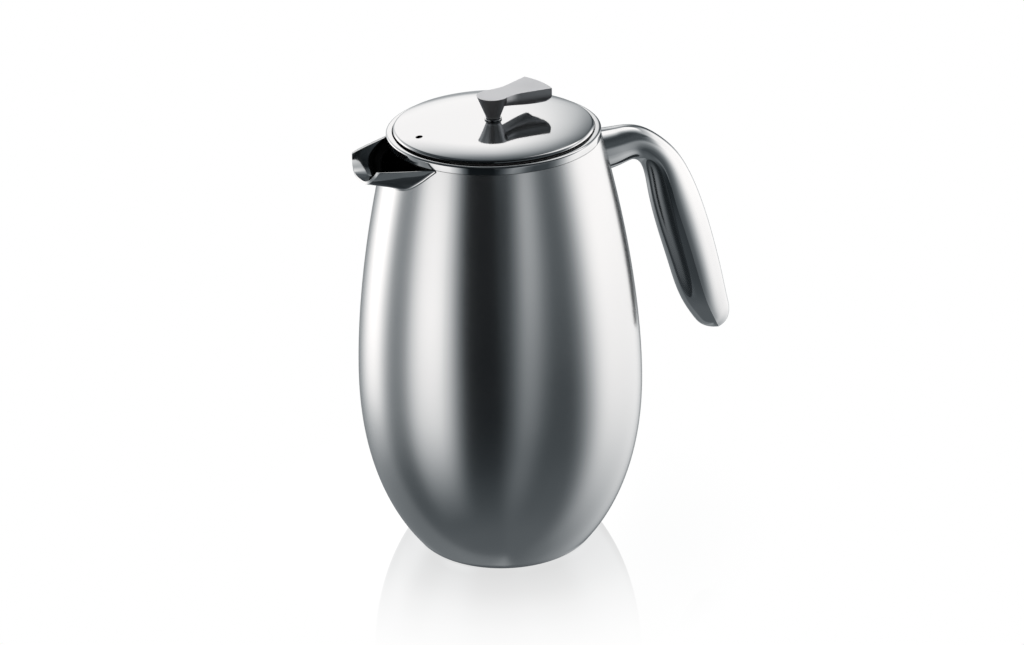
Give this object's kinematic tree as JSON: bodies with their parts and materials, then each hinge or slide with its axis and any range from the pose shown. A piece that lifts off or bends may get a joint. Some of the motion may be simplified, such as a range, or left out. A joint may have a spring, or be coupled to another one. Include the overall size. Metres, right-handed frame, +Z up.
{
  "type": "french press",
  "caption": "Double-walled steel french press with an egg-shaped body, folded spout, one-ended handle, flat lid and a plunger with a flag-shaped thumb plate.",
  "frame": {"origin": "on the vessel's axis, in the plane that the foot stands on", "axes": "+Z up along the vessel's axis, +X towards the handle, -X towards the spout"},
  "size_m": [0.1796, 0.124, 0.2047],
  "materials": {
    "satin_steel": "satin",
    "inner_steel": "fine brushed",
    "polished_steel": "mirror polished",
    "sheet_steel": "bright rolled",
    "wire_steel": "drawn wire",
    "mesh_steel": "woven wire",
    "black_plastic": "moulded black"
  },
  "bodies": {
    "vessel": {"outer_shell": "satin_steel", "inner_vessel": "inner_steel", "base_plate": "satin_steel", "neck_collar": "polished_steel", "spout": "polished_steel", "handle_outer_half": "polished_steel", "handle_inner_half": "polished_steel"},
    "lid": {"lid_cover": "polished_steel", "lid_skirt": "black_plastic"},
    "guide": {"rod_guide": "polished_steel", "guide_retainer": "sheet_steel"},
    "plunger": {"knob": "polished_steel", "plunger_rod": "polished_steel", "rod_collar": "sheet_steel", "spiral_plate": "sheet_steel", "filter_coil": "wire_steel", "mesh_screen": "mesh_steel", "cross_plate": "sheet_steel", "hub_nut": "sheet_steel"}
  },
  "joints": [
    {"name": "lid_lift", "type": "slide", "parent": "vessel", "child": "lid", "axis": [0, 0, 1], "range_m": [0, 0.2]},
    {"name": "plunger_turn", "type": "hinge", "parent": "lid", "child": "guide", "pos_m": [0, 0, 0.193], "axis": [0, 0, 1], "continuous": true},
    {"name": "plunger_slide", "type": "slide", "parent": "guide", "child": "plunger", "axis": [0, 0, 1], "range_m": [0, 0.158]}
  ]
}
